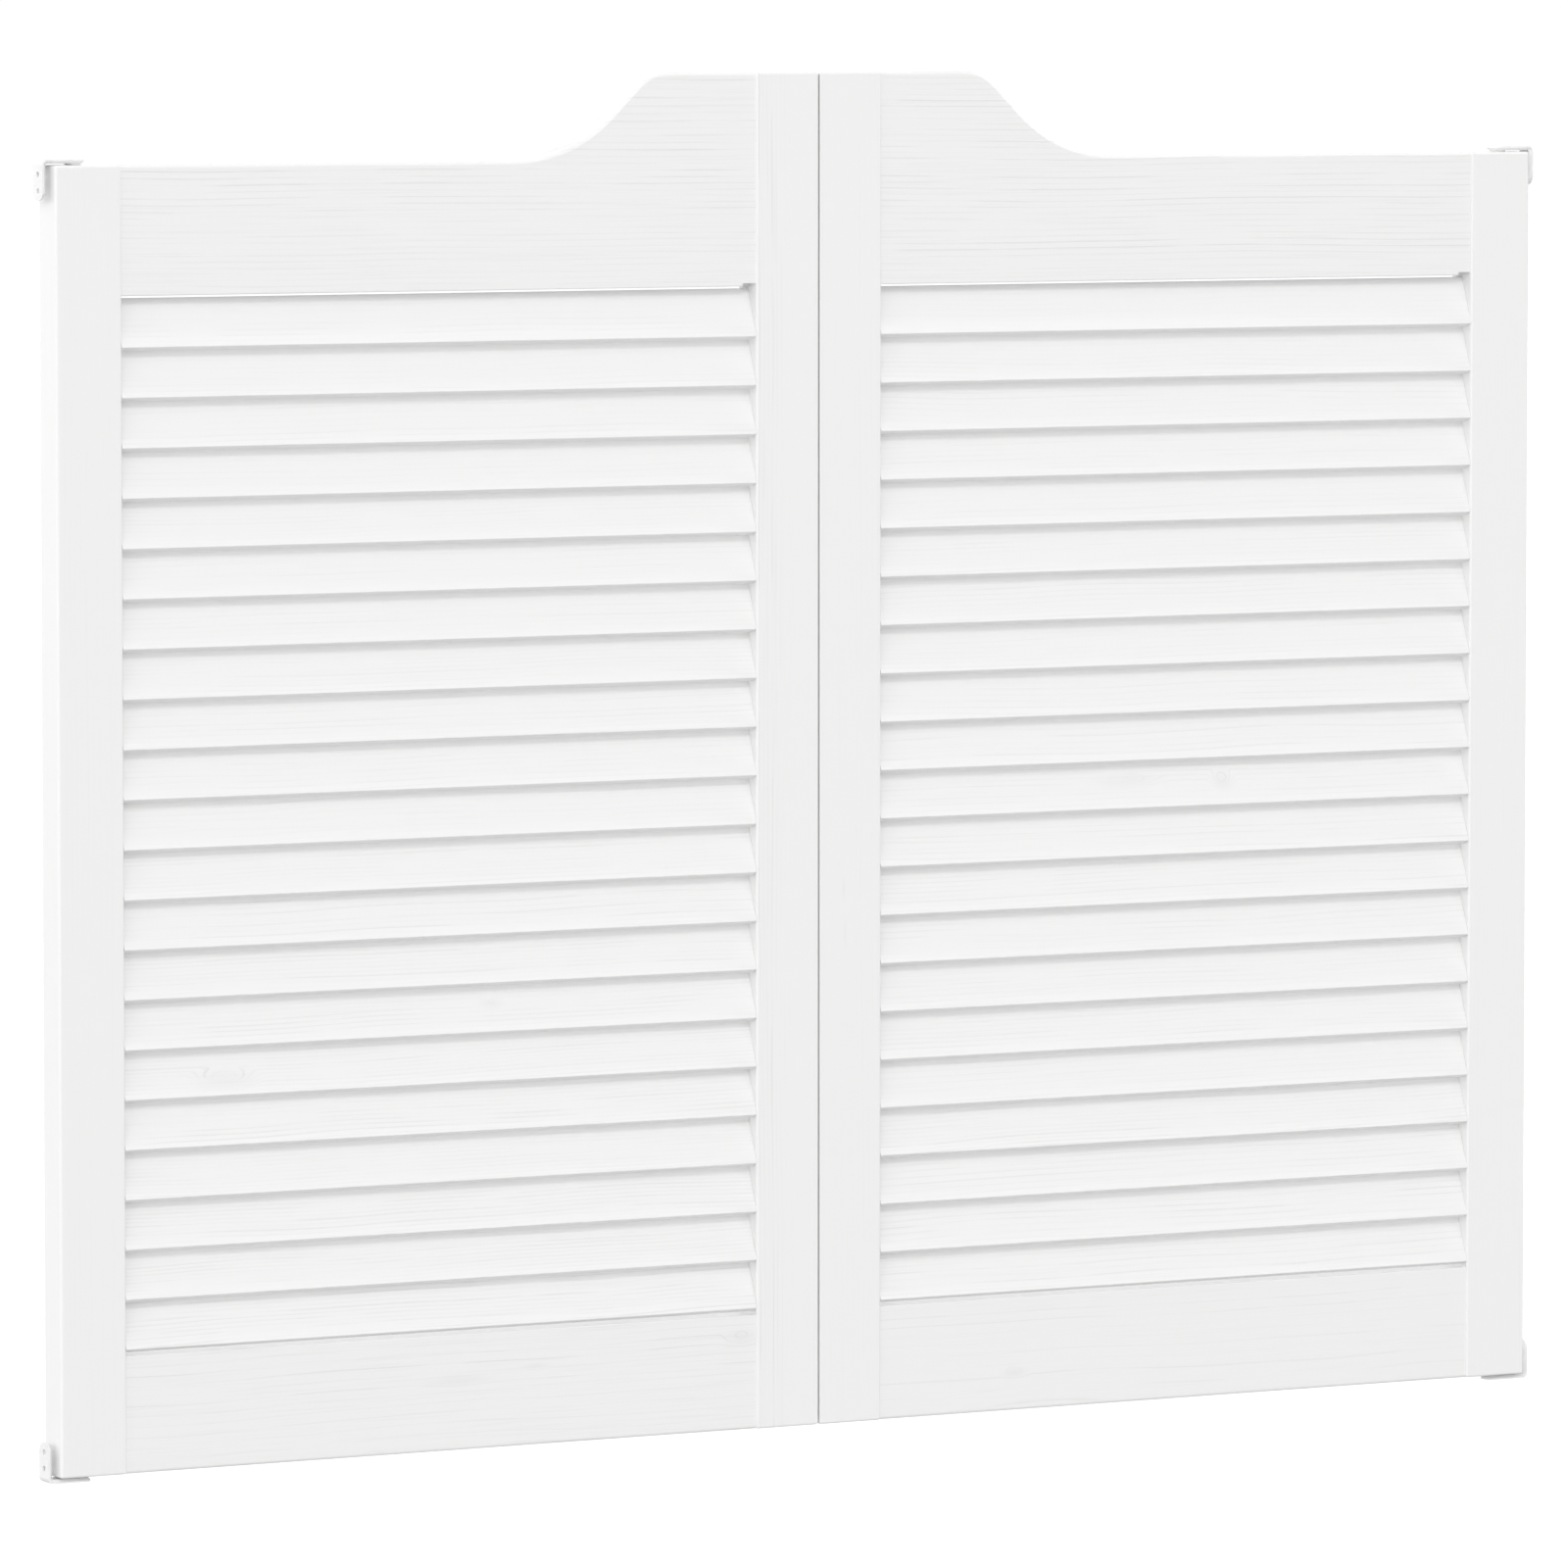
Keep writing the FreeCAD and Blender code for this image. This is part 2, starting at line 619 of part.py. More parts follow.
slat_pattern = make_slat()
leaf_middle = f"({OUTER_EDGE} - leaf_width / 2)"
for side, sign in (("left", "-"), ("right", "")):
    for index in range(int(size("slat_count"))):
        name = f"{side}_slat_{index + 1:02d}"
        slat = keep(clone(slat_pattern, name), name)
        place(slat, f"{sign}{leaf_middle}", SLAT_CENTRE_Y,
              f"{LEAF_BASE} + {FIRST_SLAT_Z} - {index} * slat_pitch", Vector(-1, 0, 0), "slat_tilt")

# Dowels: in each joint they cross the shoulder line between a stile and a rail.
dowel_pattern = make_dowel()
outer_joint = f"({OUTER_EDGE} - stile_width)"
inner_joint = "(meeting_gap / 2 + stile_width)"
for side, sign, outer_turn, inner_turn in (("left", "-", "0", "180"), ("right", "", "180", "0")):
    dowels = []
    for joint, turn, top_count in ((outer_joint, outer_turn, TOP_OUTER_DOWELS),
                                   (inner_joint, inner_turn, TOP_INNER_DOWELS)):
        heights = dowel_heights(f"{TOP_RAIL_Z} + dowel_inset", "top_dowel_spacing", top_count)
        heights += dowel_heights("dowel_inset", BOTTOM_DOWEL_SPACING, BOTTOM_DOWELS)
        for height in heights:
            dowel = clone(dowel_pattern, f"{side}_dowel_{len(dowels) + 1}")
            place(dowel, f"{sign}{joint}", "0", f"{LEAF_BASE} + {height}", angle=turn)
            dowels.append(dowel)
    group(f"{side}_dowels", dowels)

# Brackets and pins: the same two pieces serve all four corners of the doorway.
bracket_pattern = make_bracket()
pin_pattern = make_pin()
top_of_brackets = f"(2 * {LEAF_BASE} + leaf_height)"
corners = (
    ("bottom_left", f"-{OUTER_EDGE}", "0", Vector(0, 0, 1), "0"),
    ("bottom_right", OUTER_EDGE, "0", Vector(0, 0, 1), "180"),
    ("top_left", f"-{OUTER_EDGE}", top_of_brackets, Vector(1, 0, 0), "180"),
    ("top_right", OUTER_EDGE, top_of_brackets, Vector(0, 1, 0), "180"),
)
brackets = []
pins = []
for corner, x, z, axis, turn in corners:
    bracket = clone(bracket_pattern, f"{corner}_bracket")
    place(bracket, x, "0", z, axis, turn)
    brackets.append(bracket)
    pin = clone(pin_pattern, f"{corner}_pin")
    inward = "+" if "left" in corner else "-"
    place(pin, f"{x} {inward} pivot_inset", "0", z, axis, turn)
    pins.append(pin)
group("bottom_brackets", brackets[:2])
group("top_brackets", brackets[2:])
group("pivot_pins", pins)

spring_pattern = make_spring()
springs = []
for side, sign in (("left", "-"), ("right", "")):
    spring = doc.addObject("Part::Feature", f"{side}_spring")
    spring.Shape = spring_pattern.Shape
    place(spring, f"{sign}({OUTER_EDGE} - pivot_inset)", "0", f"{LEAF_BASE} + spring_start")
    springs.append(spring)
group("torsion_springs", springs)

doc.recompute()

# ------------------------------------------------------------ checks, export

failed = [item.Label for item in doc.Objects if {"Invalid", "Error"} & set(item.State)]
if failed:
    raise RuntimeError(f"failed objects: {failed}")
for item in sub_parts:
    if item.Shape.isNull() or not item.Shape.isValid() or not item.Shape.Solids:
        raise RuntimeError(f"bad shape: {item.Label}")

os.makedirs("parts", exist_ok=True)
for item in sub_parts:
    item.Shape.exportStep(f"parts/{item.Label}.step")
print(len(sub_parts), "sub-parts written")
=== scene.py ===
import random
from math import radians

import bpy
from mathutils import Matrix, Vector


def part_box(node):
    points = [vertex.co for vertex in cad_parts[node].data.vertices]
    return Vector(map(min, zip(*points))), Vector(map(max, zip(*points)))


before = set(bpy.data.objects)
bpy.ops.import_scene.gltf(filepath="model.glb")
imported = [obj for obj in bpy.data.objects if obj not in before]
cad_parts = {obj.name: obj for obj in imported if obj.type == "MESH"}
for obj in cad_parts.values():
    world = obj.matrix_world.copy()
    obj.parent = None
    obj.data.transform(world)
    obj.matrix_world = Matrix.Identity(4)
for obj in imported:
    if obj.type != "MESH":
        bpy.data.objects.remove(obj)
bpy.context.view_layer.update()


# ---------------------------------------------------------------------------
# The view. The closed pair is seen from the left, a little above its top edge,
# through a long lens from nearly seven metres away.
# ---------------------------------------------------------------------------
VIEW_FROM = (-3.3229, -6.0355, 0.9169)
VIEW_TURNED_RIGHT = 28.70
VIEW_DROPPED = 4.232
LENS = 252.6
SENSOR_WIDTH = 36.0
FARTHEST_SEEN = 200.0

camera_data = bpy.data.cameras.new("view_camera")
camera_data.sensor_width = SENSOR_WIDTH
camera_data.lens = LENS
camera_data.clip_end = FARTHEST_SEEN
camera = bpy.data.objects.new("view_camera", camera_data)
camera.location = VIEW_FROM
camera.rotation_euler = (radians(90 - VIEW_DROPPED), 0, radians(-VIEW_TURNED_RIGHT))
bpy.context.scene.collection.objects.link(camera)
bpy.context.scene.camera = camera


# ---------------------------------------------------------------------------
# The studio: a pale floor well below the leaves, which hang at their usual
# height, white walls all round them, and two far softboxes.
# ---------------------------------------------------------------------------
HANGING_HEIGHT = 0.46
FLOOR_SIZE = 60.0
PALE_GREY = (0.52, 0.52, 0.52, 1.0)
FLOOR_ROUGHNESS = 0.9
FULL_WHITE = (1.0, 1.0, 1.0, 1.0)
WALLS_AS_SEEN = 1.05
FLOOR_GLOW_AS_SEEN = 0.5
WALLS_ALL_ROUND = 0.378
WALLS_RIGHT_AND_BACK = (0.0, 1.265, 0.0)
WALLS_LEFT_AND_FRONT = (1.557, 1.156, 0.0)
SOFTBOX_SPREAD = 8
SOFTBOXES = (
    # name, strength, degrees to the right of the front, degrees up
    ("front_left_softbox", 0.468, -20, 32.8),
    ("right_softbox", 1.122, 90, 35),
)


def put(tree, kind, settings, inputs):
    """Adds a shader node. An input is a plain value or the socket that feeds it."""
    node = tree.nodes.new("ShaderNode" + kind)
    for name, value in settings.items():
        setattr(node, name, value)
    for name, value in inputs.items():
        if isinstance(value, bpy.types.NodeSocket):
            tree.links.new(value, node.inputs[name])
        else:
            node.inputs[name].default_value = value
    return node


def reckon(tree, operation, *values):
    """One step of arithmetic on numbers or sockets."""
    return put(tree, "Math", {"operation": operation}, dict(enumerate(values))).outputs[0]


def vector(tree, operation, *values):
    """One step of arithmetic on vectors."""
    return put(tree, "VectorMath", {"operation": operation}, dict(enumerate(values))).outputs


bpy.ops.object.select_all(action="DESELECT")
bpy.ops.mesh.primitive_plane_add(size=FLOOR_SIZE, location=(0, 0, -HANGING_HEIGHT))
floor = bpy.context.object
floor.name = "studio_floor"
floor_paint = bpy.data.materials.new("pale_studio_floor")
floor_paint.use_nodes = True
tree = floor_paint.node_tree
seen_directly = put(tree, "LightPath", {}, {}).outputs["Is Camera Ray"]
floor_shader = tree.nodes["Principled BSDF"].inputs
floor_shader["Base Color"].default_value = PALE_GREY
floor_shader["Roughness"].default_value = FLOOR_ROUGHNESS
floor_shader["Emission Color"].default_value = FULL_WHITE
floor_glow = reckon(tree, "MULTIPLY", seen_directly, FLOOR_GLOW_AS_SEEN)
tree.links.new(floor_glow, floor_shader["Emission Strength"])
floor.data.materials.append(floor_paint)

walls = bpy.data.worlds.new("studio_walls")
walls.use_nodes = True
tree = walls.node_tree
towards = put(tree, "TexCoord", {}, {}).outputs["Generated"]
ahead = vector(tree, "MAXIMUM", towards, (0, 0, 0))[0]
behind = vector(tree, "MINIMUM", towards, (0, 0, 0))[0]
ahead = vector(tree, "MULTIPLY", ahead, ahead)[0]
behind = vector(tree, "MULTIPLY", behind, behind)[0]
glow = vector(tree, "DOT_PRODUCT", ahead, WALLS_RIGHT_AND_BACK)[1]
other_glow = vector(tree, "DOT_PRODUCT", behind, WALLS_LEFT_AND_FRONT)[1]
glow = reckon(tree, "ADD", reckon(tree, "ADD", glow, other_glow), WALLS_ALL_ROUND)
seen_directly = put(tree, "LightPath", {}, {}).outputs["Is Camera Ray"]
lit_or_seen = {"Value": seen_directly, "To Min": glow, "To Max": WALLS_AS_SEEN}
glow = put(tree, "MapRange", {}, lit_or_seen).outputs["Result"]
tree.nodes["Background"].inputs["Color"].default_value = FULL_WHITE
tree.links.new(glow, tree.nodes["Background"].inputs["Strength"])
bpy.context.scene.world = walls
bpy.context.scene.view_settings.view_transform = "Standard"

for name, strength, right, up in SOFTBOXES:
    softbox = bpy.data.lights.new(name, "SUN")
    softbox.angle = radians(SOFTBOX_SPREAD)
    softbox.energy = strength
    stand = bpy.data.objects.new(name, softbox)
    stand.rotation_euler = (radians(90 - up), 0, radians(right))
    bpy.context.scene.collection.objects.link(stand)


# ---------------------------------------------------------------------------
# The four stiles are planed softwood, 44 by 24, with their grain upright. All
# the timber is sprayed in white satin paint thin enough for the grain to show.
# ---------------------------------------------------------------------------
PAINT_WHITE = (0.845, 0.845, 0.842, 1.0)
PAINT_OVER_LATEWOOD = (0.735, 0.735, 0.730, 1.0)
PAINT_ROUGHNESS = (0.40, 0.50)
GRAIN_RELIEF = 0.00005
RING_WIDTH = 0.0030
LATEWOOD_WIDTH = 0.0011
LATEWOOD_DARKEST = (0.93, 0.94)
FAINTEST_RING = 0.25
WANDER = 0.004
WANDER_WAVES = (5.0, 12.0, 12.0)
PATCH_WAVES = (16.0, 110.0, 110.0)
PATCH_EDGES = (0.38, 0.58)
FAINTEST_PATCH = 0.10
FIBRE_WAVES = (14.0, 850.0, 850.0)
FIBRE_EDGES = (0.48, 0.75)
FIBRE_IN_RELIEF = 0.35
FIBRE_IN_SHADE = 0.25
HEART_BEHIND_BOARD = (0.02, 0.06)
HEART_LEANS = (-0.01, 0.01)
RING_WIDTH_SPREAD = (0.8, 1.25)
KNOT_SHOWS = 0.35

cut = random.Random(21)


def ramp(tree, value, start, end, low=0.0, high=1.0):
    """Low below start, high above end, and a smooth rise between the two."""
    inputs = {"Value": value, "From Min": start, "From Max": end, "To Min": low, "To Max": high}
    return put(tree, "MapRange", {"interpolation_type": "SMOOTHSTEP"}, inputs).outputs["Result"]


def stretched_noise(tree, place, stretch, seed, detail):
    """Noise drawn out along the grain: stretch is how many waves it has per metre each way."""
    drawn = vector(tree, "MULTIPLY", place, stretch)[0]
    inputs = {"Vector": drawn, "W": seed, "Scale": 1.0, "Detail": detail}
    return put(tree, "TexNoise", {"noise_dimensions": "4D"}, inputs).outputs["Fac"]


def blend_colours(tree, amount, colour, other):
    """The colour where the amount is 0, and the other where it is 1. The numbered sockets are
    the node's own for colours."""
    inputs = {"Factor": amount, 6: colour, 7: other}
    return put(tree, "Mix", {"data_type": "RGBA"}, inputs).outputs[2]


def start_group(name, numbers_in, numbers_out):
    """An empty node group with a Position input, then these numbers in and out."""
    group = bpy.data.node_groups.new(name, "ShaderNodeTree")
    group.interface.new_socket("Position", in_out="INPUT", socket_type="NodeSocketVector")
    for socket in numbers_in:
        group.interface.new_socket(socket, in_out="INPUT", socket_type="NodeSocketFloat")
    for socket in numbers_out:
        group.interface.new_socket(socket, in_out="OUTPUT", socket_type="NodeSocketFloat")
    return group, group.nodes.new("NodeGroupInput").outputs


def start_material(name):
    """A material with its node tree, its Object coordinates and its shader's inputs."""
    material = bpy.data.materials.new(name)
    material.use_nodes = True
    tree = material.node_tree
    place = put(tree, "TexCoord", {}, {}).outputs["Object"]
    return material, tree, place, tree.nodes["Principled BSDF"].inputs


def feed(tree, shader, colour, roughness, relief):
    """Links colour, roughness and relief to the shader. They vary over every finish here."""
    tree.links.new(colour, shader["Base Color"])
    tree.links.new(roughness, shader["Roughness"])
    tree.links.new(relief.outputs["Normal"], shader["Normal"])


def cover(material, *nodes):
    """Gives a material to whole pieces."""
    for node in nodes:
        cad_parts[node].data.materials.clear()
        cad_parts[node].data.materials.append(material)


# Growth rings are tubes round the tree's heart, which runs past below the board. Where the
# board's face cuts them they show as fine lines, or as long arches if the heart leans.
pine_grain, given = start_group(
    "pine_grain",
    ["Seed", "Heart Across", "Heart Depth", "Lean", "Ring Width", "Wander", "Swerve"],
    ["Latewood", "Fibre", "Height"],
)
along, across, out = put(pine_grain, "SeparateXYZ", {}, {0: given["Position"]}).outputs
wander = stretched_noise(pine_grain, given["Position"], WANDER_WAVES, given["Seed"], detail=1.0)
wander = reckon(pine_grain, "SUBTRACT", wander, 0.5)
wander = reckon(pine_grain, "MULTIPLY", wander, given["Wander"])
from_heart = reckon(pine_grain, "SUBTRACT", across, given["Heart Across"])
above_heart = reckon(pine_grain, "ADD", out, given["Heart Depth"])
above_heart = reckon(pine_grain, "MULTIPLY_ADD", along, given["Lean"], above_heart)
square = reckon(pine_grain, "MULTIPLY", from_heart, from_heart)
square = reckon(pine_grain, "MULTIPLY_ADD", above_heart, above_heart, square)
radius = reckon(pine_grain, "SQRT", square)
radius = reckon(pine_grain, "ADD", reckon(pine_grain, "ADD", radius, wander), given["Swerve"])
rings = reckon(pine_grain, "DIVIDE", radius, given["Ring Width"])
ring_share = reckon(pine_grain, "FRACT", rings)
latewood_share = reckon(pine_grain, "DIVIDE", LATEWOOD_WIDTH, given["Ring Width"])
earlywood = reckon(pine_grain, "SUBTRACT", 1.0, latewood_share)
rise = ramp(pine_grain, ring_share, earlywood, LATEWOOD_DARKEST[0])
fall = ramp(pine_grain, ring_share, LATEWOOD_DARKEST[1], 1.0, low=1.0, high=0.0)
ring_number = reckon(pine_grain, "ADD", reckon(pine_grain, "FLOOR", rings), given["Seed"])
ring_luck = put(pine_grain, "TexWhiteNoise", {"noise_dimensions": "1D"}, {"W": ring_number})
ring_luck = ring_luck.outputs["Value"]
ring_luck = reckon(pine_grain, "MULTIPLY", ring_luck, ring_luck)
ring_luck = reckon(pine_grain, "MULTIPLY_ADD", ring_luck, 1 - FAINTEST_RING, FAINTEST_RING)
patches = stretched_noise(pine_grain, given["Position"], PATCH_WAVES, given["Seed"], detail=2.0)
patches = ramp(pine_grain, patches, *PATCH_EDGES, low=FAINTEST_PATCH)
latewood = reckon(pine_grain, "MULTIPLY", reckon(pine_grain, "MULTIPLY", rise, fall), ring_luck)
latewood = reckon(pine_grain, "MULTIPLY", latewood, patches)
fibre = stretched_noise(pine_grain, given["Position"], FIBRE_WAVES, given["Seed"], detail=3.0)
fibre = ramp(pine_grain, fibre, *FIBRE_EDGES)
height = reckon(pine_grain, "MULTIPLY_ADD", fibre, FIBRE_IN_RELIEF, latewood)
given_back = pine_grain.nodes.new("NodeGroupOutput").inputs
for socket, value in zip(given_back, (latewood, fibre, height)):
    pine_grain.links.new(value, socket)


def painted_board(node, turn, ring_width, wander, heart_across, shows=1.0, knots=(), fades=None):
    """Paints one board. Turn lays the grain's own X along it and its Z out of the face. A knot
    under the paint is a dim spot that the rings bulge round: along, across, half length, half
    width. The grain fades out across the board between the two places in fades."""
    low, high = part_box(node)
    paint, tree, place, shader = start_material("white_paint_on_" + node)
    middle = (low + high) / 2
    lie_of_grain = {"Vector": place, "Location": middle, "Rotation": [radians(a) for a in turn]}
    place = put(tree, "Mapping", {"vector_type": "TEXTURE"}, lie_of_grain).outputs["Vector"]
    swerve = 0.0
    dim = 0.0
    for at_along, at_across, half_length, half_width in knots:
        middle = (at_along, at_across, 0)
        eye = {"Vector": place, "Location": middle, "Scale": (half_length, half_width, 1)}
        eye = put(tree, "Mapping", {"vector_type": "TEXTURE"}, eye).outputs["Vector"]
        eye = ramp(tree, vector(tree, "LENGTH", eye)[1], 0.0, 1.0, low=1.0, high=0.0)
        swerve = reckon(tree, "MULTIPLY_ADD", eye, half_width, swerve)
        dim = reckon(tree, "MULTIPLY_ADD", eye, KNOT_SHOWS, dim)
    grain = put(tree, "Group", {"node_tree": pine_grain}, {
        "Position": place,
        "Seed": cut.uniform(0, 90),
        "Heart Across": cut.choice((-1, 1)) * cut.uniform(*heart_across),
        "Heart Depth": cut.uniform(*HEART_BEHIND_BOARD),
        "Lean": cut.uniform(*HEART_LEANS),
        "Ring Width": ring_width * cut.uniform(*RING_WIDTH_SPREAD),
        "Wander": wander,
        "Swerve": swerve,
    }).outputs
    shade = reckon(tree, "MULTIPLY_ADD", grain["Fibre"], FIBRE_IN_SHADE, grain["Latewood"])
    if fades:
        across = put(tree, "SeparateXYZ", {}, {0: place}).outputs["Y"]
        left_showing = ramp(tree, across, *fades, low=1.0, high=0.0)
        shade = reckon(tree, "MULTIPLY", shade, left_showing)
    shade = reckon(tree, "MULTIPLY_ADD", shade, shows, dim)
    colour = blend_colours(tree, shade, PAINT_WHITE, PAINT_OVER_LATEWOOD)
    roughness = ramp(tree, grain["Latewood"], 0.0, 1.0, *PAINT_ROUGHNESS)
    relief = {"Height": grain["Height"], "Distance": GRAIN_RELIEF, "Strength": shows}
    feed(tree, shader, colour, roughness, put(tree, "Bump", {}, relief))
    cover(paint, node)


UPRIGHT = (-90, -90, 0)
STILE_HEART = (0.05, 0.08)
PLAIN_STILE_SHOWS = 0.15
GRAINY_STILE_SHOWS = 1.1
GRAINY_STILE_FADES = (-0.010, 0.004)
STILE_KNOTS = {
    "right_inner_stile": [(-0.087, -0.005, 0.010, 0.0016), (-0.116, -0.004, 0.014, 0.0016)],
}

for stile in ("left_outer_stile", "right_outer_stile", "right_inner_stile"):
    painted_board(stile, UPRIGHT, RING_WIDTH, WANDER, STILE_HEART,
                  PLAIN_STILE_SHOWS, STILE_KNOTS.get(stile, ()))
painted_board("left_inner_stile", UPRIGHT, RING_WIDTH, WANDER, STILE_HEART,
              GRAINY_STILE_SHOWS, fades=GRAINY_STILE_FADES)


# ---------------------------------------------------------------------------
# The top and bottom rails lie between the stiles, dowelled to them, and are
# three millimetres thinner. They are wide boards with their grain level.
# ---------------------------------------------------------------------------
SIDES = ("left", "right")
LEVEL = (90, 0, 0)
TOP_RAIL_WANDER = WANDER * 1.5
TOP_RAIL_HEART = (0.10, 0.15)
BOTTOM_RAIL_RINGS = RING_WIDTH * 2
BOTTOM_RAIL_WANDER = WANDER * 3
BOTTOM_RAIL_HEART = (0.05, 0.09)
BOTTOM_RAIL_KNOTS = {
    "left": [
        (0.062, 0.013, 0.014, 0.003),
        (0.010, 0.007, 0.040, 0.005),
        (0.208, 0.022, 0.018, 0.008),
    ],
    "right": [(-0.120, -0.012, 0.014, 0.005)],
}
BOTTOM_RAIL_SHOWS = {"left": 1.0, "right": 0.5}

for side in SIDES:
    painted_board(f"{side}_top_rail", LEVEL, RING_WIDTH, TOP_RAIL_WANDER, TOP_RAIL_HEART)
    painted_board(f"{side}_bottom_rail", LEVEL, BOTTOM_RAIL_RINGS, BOTTOM_RAIL_WANDER,
                  BOTTOM_RAIL_HEART, BOTTOM_RAIL_SHOWS[side], BOTTOM_RAIL_KNOTS[side])


# ---------------------------------------------------------------------------
# The slats are thin boards leaning back at their top edges, with shouldered
# tongues in slots in the stiles. Each is its own cut of the tree.
# ---------------------------------------------------------------------------
SLAT_COUNT = 21
SLAT_TILT = 21
LEANING = (90 - SLAT_TILT, 0, 0)
SLAT_RINGS = RING_WIDTH * 0.85
SLAT_WANDER = WANDER * 2
SLAT_HEART = (0.04, 0.08)
FAINTEST_SLAT = 0.40
SLAT_KNOTS = {
    "left_slat_15": [(0.035, 0.002, 0.012, 0.006)],
    "left_slat_16": [(-0.150, -0.006, 0.030, 0.010)],
    "right_slat_11": [(-0.035, 0.002, 0.035, 0.007), (0.035, 0.0, 0.012, 0.010)],
}

for side in SIDES:
    for number in range(1, SLAT_COUNT + 1):
        slat = f"{side}_slat_{number:02d}"
        shows = FAINTEST_SLAT + (1 - FAINTEST_SLAT) * (number / SLAT_COUNT) ** 2
        painted_board(slat, LEANING, SLAT_RINGS, SLAT_WANDER, SLAT_HEART,
                      shows, SLAT_KNOTS.get(slat, ()))


# ---------------------------------------------------------------------------
# The dowels are turned from bare beech, which has short dark flecks and a fine,
# even grain. They are glued into the rails and stiles and don't show.
# ---------------------------------------------------------------------------
BEECH = (0.66, 0.46, 0.28, 1.0)
BEECH_FLECK = (0.42, 0.26, 0.14, 1.0)
BEECH_ROUGHNESS = (0.55, 0.75)
BEECH_RELIEF = 0.0001
FLECK_WAVES = (160.0, 1400.0, 1400.0)
FLECK_EDGES = (0.55, 0.72)
FLECKS_SHOW = 0.7
BAND_WAVES = (8.0, 420.0, 420.0)
BANDS_SHOW = 0.35

beech, tree, place, shader = start_material("bare_beech")
flecks = stretched_noise(tree, place, FLECK_WAVES, seed=3.0, detail=2.0)
flecks = ramp(tree, flecks, *FLECK_EDGES)
bands = stretched_noise(tree, place, BAND_WAVES, seed=7.0, detail=2.0)
tone = reckon(tree, "MULTIPLY", flecks, FLECKS_SHOW)
tone = reckon(tree, "MULTIPLY_ADD", bands, BANDS_SHOW, tone)
colour = blend_colours(tree, tone, BEECH, BEECH_FLECK)
relief = put(tree, "Bump", {"invert": True}, {"Height": tone, "Distance": BEECH_RELIEF})
feed(tree, shader, colour, ramp(tree, flecks, 0.0, 1.0, *BEECH_ROUGHNESS), relief)
cover(beech, "left_dowels", "right_dowels")


# ---------------------------------------------------------------------------
# The four jamb brackets are folded from 2.5 mm steel plate and powder coated in
# white. The coat has a fine orange-peel skin.
# ---------------------------------------------------------------------------
POWDER_COAT = ((0.85, 0.85, 0.85, 1.0), (0.81, 0.81, 0.81, 1.0))
POWDER_ROUGHNESS = (0.36, 0.48)
CLOUDS_PER_METRE = 60.0
CLOUD_EDGES = (0.35, 0.70)
PEEL_PER_METRE = 900.0
PEEL_EDGES = (0.3, 0.7)
PEEL_RELIEF = 0.00008


def noise(tree, place, per_metre, detail):
    """Noise that is the same size every way."""
    inputs = {"Vector": place, "Scale": per_metre, "Detail": detail}
    return put(tree, "TexNoise", {}, inputs).outputs["Fac"]


powder, tree, place, shader = start_material("white_powder_coat")
peel = noise(tree, place, PEEL_PER_METRE, detail=2.0)
clouds = noise(tree, place, CLOUDS_PER_METRE, detail=3.0)
colour = blend_colours(tree, ramp(tree, clouds, *CLOUD_EDGES), *POWDER_COAT)
roughness = ramp(tree, peel, *PEEL_EDGES, *POWDER_ROUGHNESS)
relief = put(tree, "Bump", {}, {"Height": peel, "Distance": PEEL_RELIEF})
feed(tree, shader, colour, roughness, relief)
cover(powder, "top_brackets", "bottom_brackets")


# ---------------------------------------------------------------------------
# The pivot pins and the spring barrels are turned from zinc-plated mild steel,
# ringed by the lathe. The pins' collars are coated along with the brackets.
# ---------------------------------------------------------------------------
ZINC = ((0.70, 0.71, 0.72, 1.0), (0.56, 0.57, 0.60, 1.0))
ZINC_ROUGHNESS = (0.26, 0.42)
SPANGLES_PER_METRE = 240.0
SPANGLE_EDGES = (0.35, 0.7)
LATHE_WAVES = (30.0, 30.0, 4200.0)
LATHE_AND_SPANGLE_EDGES = (0.7, 1.3)
LATHE_RELIEF = 0.00003
COLLAR_TOP = 0.0033
COAT_EDGE = 0.0002

for name, nodes in (
    ("zinc_plated_pins_with_coated_collars", ["pivot_pins"]),
    ("zinc_plated_barrels", ["left_spring_barrel", "right_spring_barrel"]),
):
    zinc, tree, place, shader = start_material(name)
    spangles = noise(tree, place, SPANGLES_PER_METRE, detail=4.0)
    rings = stretched_noise(tree, place, LATHE_WAVES, seed=5.0, detail=1.0)
    colour = blend_colours(tree, ramp(tree, spangles, *SPANGLE_EDGES), *ZINC)
    roughness = reckon(tree, "ADD", rings, spangles)
    roughness = ramp(tree, roughness, *LATHE_AND_SPANGLE_EDGES, *ZINC_ROUGHNESS)
    relief = put(tree, "Bump", {}, {"Height": rings, "Distance": LATHE_RELIEF})
    shader["Metallic"].default_value = 1.0
    if nodes == ["pivot_pins"]:
        low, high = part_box("pivot_pins")
        up = put(tree, "SeparateXYZ", {}, {0: place}).outputs["Z"]
        from_bottom = reckon(tree, "SUBTRACT", up, low[2])
        from_top = reckon(tree, "SUBTRACT", high[2], up)
        from_end = reckon(tree, "MINIMUM", from_bottom, from_top)
        bare = ramp(tree, from_end, COLLAR_TOP - COAT_EDGE, COLLAR_TOP + COAT_EDGE)
        colour = blend_colours(tree, bare, POWDER_COAT[0], colour)
        tree.links.new(bare, shader["Metallic"])
    feed(tree, shader, colour, roughness, relief)
    cover(zinc, *nodes)


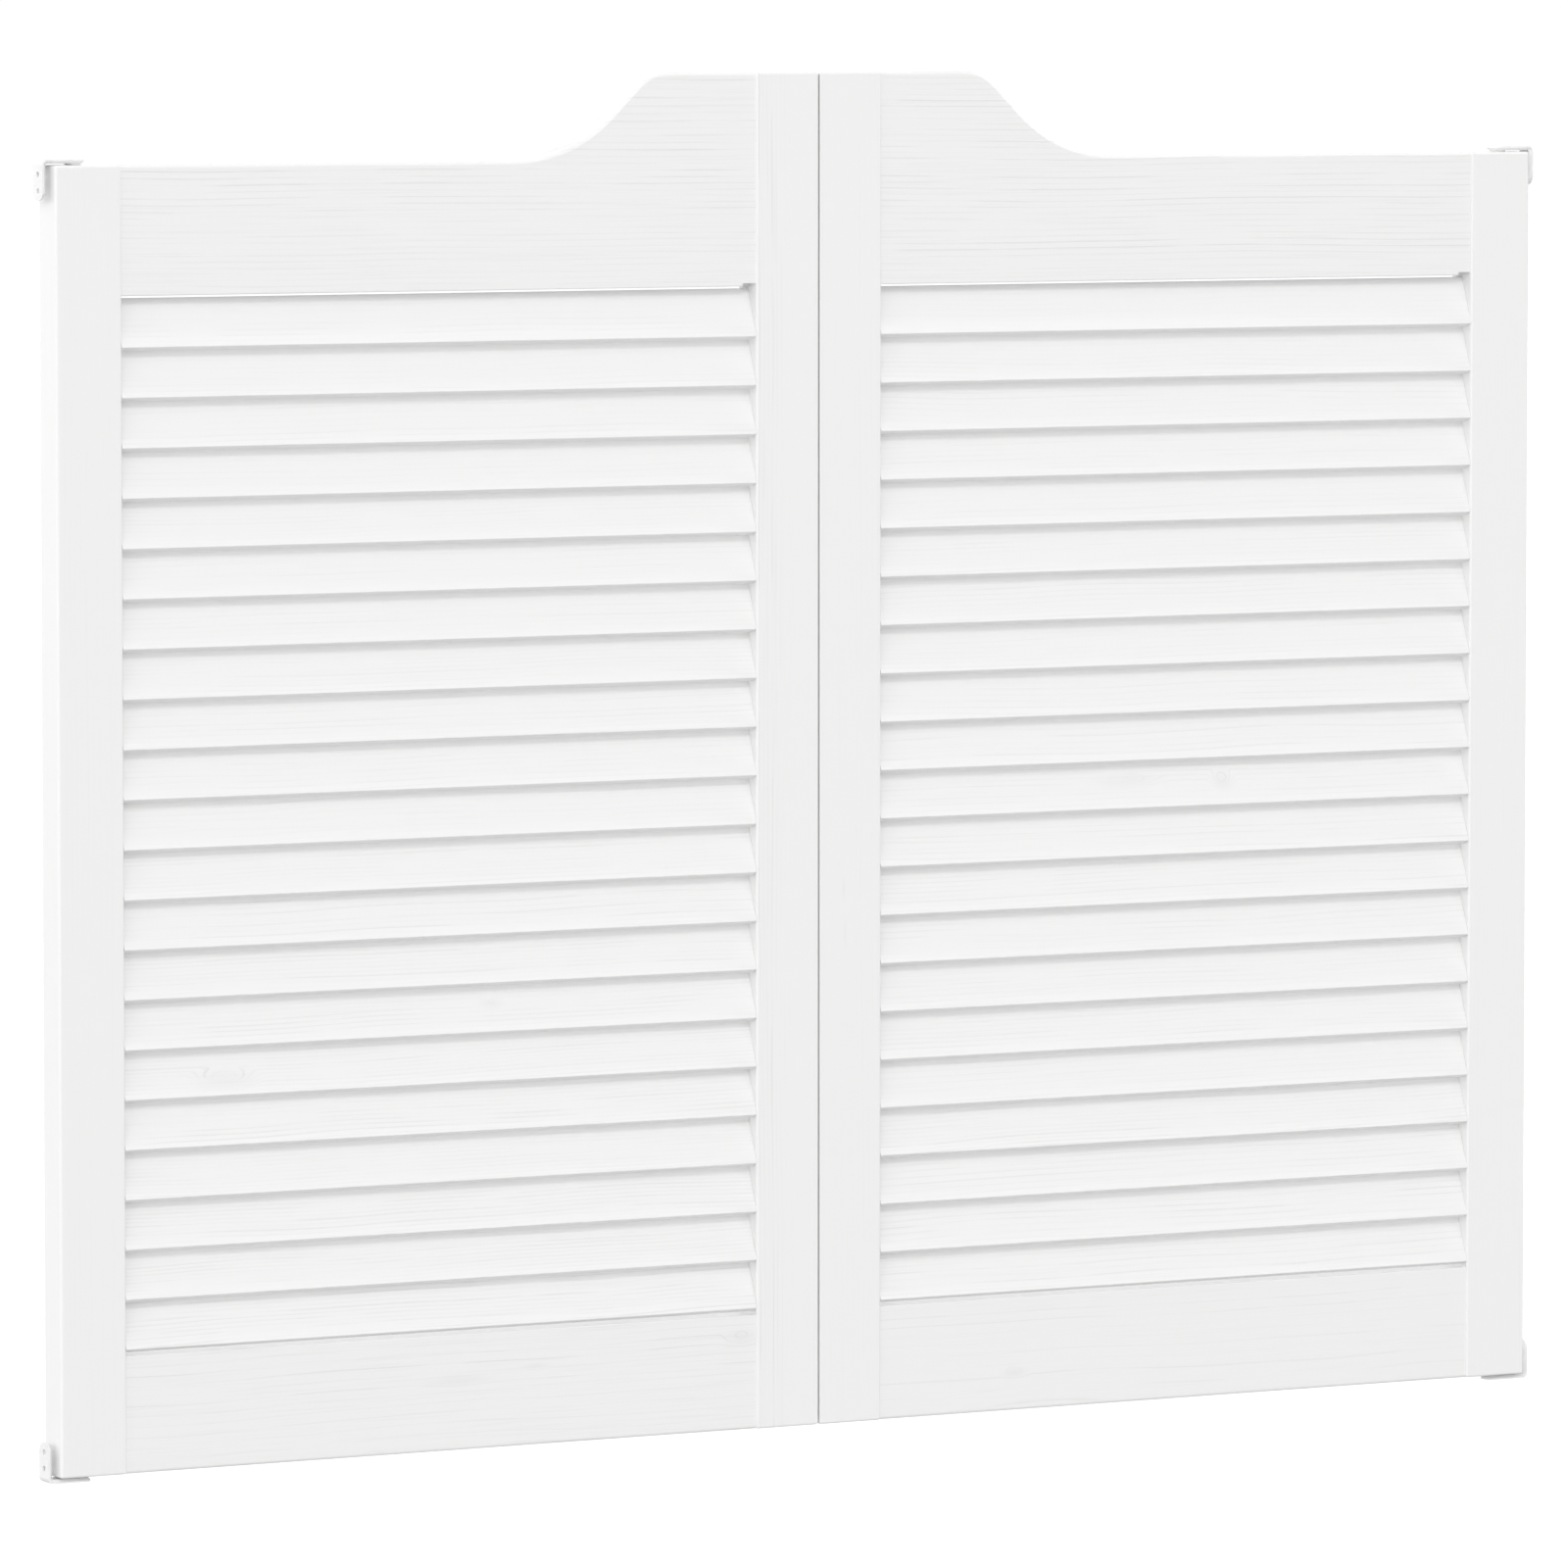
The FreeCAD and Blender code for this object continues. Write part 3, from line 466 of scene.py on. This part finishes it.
# ---------------------------------------------------------------------------
# The top bushes are turned from natural nylon rod, milky and slightly waxy, and
# pressed into the tops of the outer stiles.
# ---------------------------------------------------------------------------
NYLON = ((0.88, 0.87, 0.82, 1.0), (0.80, 0.78, 0.71, 1.0))
NYLON_ROUGHNESS = (0.42, 0.58)
MILK_PER_METRE = 130.0
MILK_EDGES = (0.3, 0.75)
BUSH_LATHE_WAVES = (30.0, 30.0, 3000.0)
BUSH_LATHE_EDGES = (0.3, 0.7)
BUSH_LATHE_RELIEF = 0.00004

nylon, tree, place, shader = start_material("natural_nylon")
milk = noise(tree, place, MILK_PER_METRE, detail=3.0)
rings = stretched_noise(tree, place, BUSH_LATHE_WAVES, seed=9.0, detail=1.0)
colour = blend_colours(tree, ramp(tree, milk, *MILK_EDGES), *NYLON)
roughness = ramp(tree, rings, *BUSH_LATHE_EDGES, *NYLON_ROUGHNESS)
relief = put(tree, "Bump", {}, {"Height": rings, "Distance": BUSH_LATHE_RELIEF})
feed(tree, shader, colour, roughness, relief)
cover(nylon, "left_top_bush", "right_top_bush")


# ---------------------------------------------------------------------------
# The torsion springs are coiled from oiled spring wire round the bottom pins,
# inside the spring barrels. The oil lies in dark patches.
# ---------------------------------------------------------------------------
WIRE = ((0.40, 0.40, 0.41, 1.0), (0.16, 0.15, 0.14, 1.0))
WIRE_ROUGHNESS = (0.42, 0.22)
OIL_PER_METRE = 300.0
OIL_EDGES = (0.45, 0.65)
DIE_MARKS_PER_METRE = 3500.0
DIE_MARK_RELIEF = 0.00002

wire, tree, place, shader = start_material("oiled_spring_wire")
oil = ramp(tree, noise(tree, place, OIL_PER_METRE, detail=4.0), *OIL_EDGES)
die_marks = noise(tree, place, DIE_MARKS_PER_METRE, detail=2.0)
colour = blend_colours(tree, oil, *WIRE)
roughness = ramp(tree, oil, 0.0, 1.0, *WIRE_ROUGHNESS)
relief = put(tree, "Bump", {}, {"Height": die_marks, "Distance": DIE_MARK_RELIEF})
shader["Metallic"].default_value = 1.0
feed(tree, shader, colour, roughness, relief)
cover(wire, "torsion_springs")
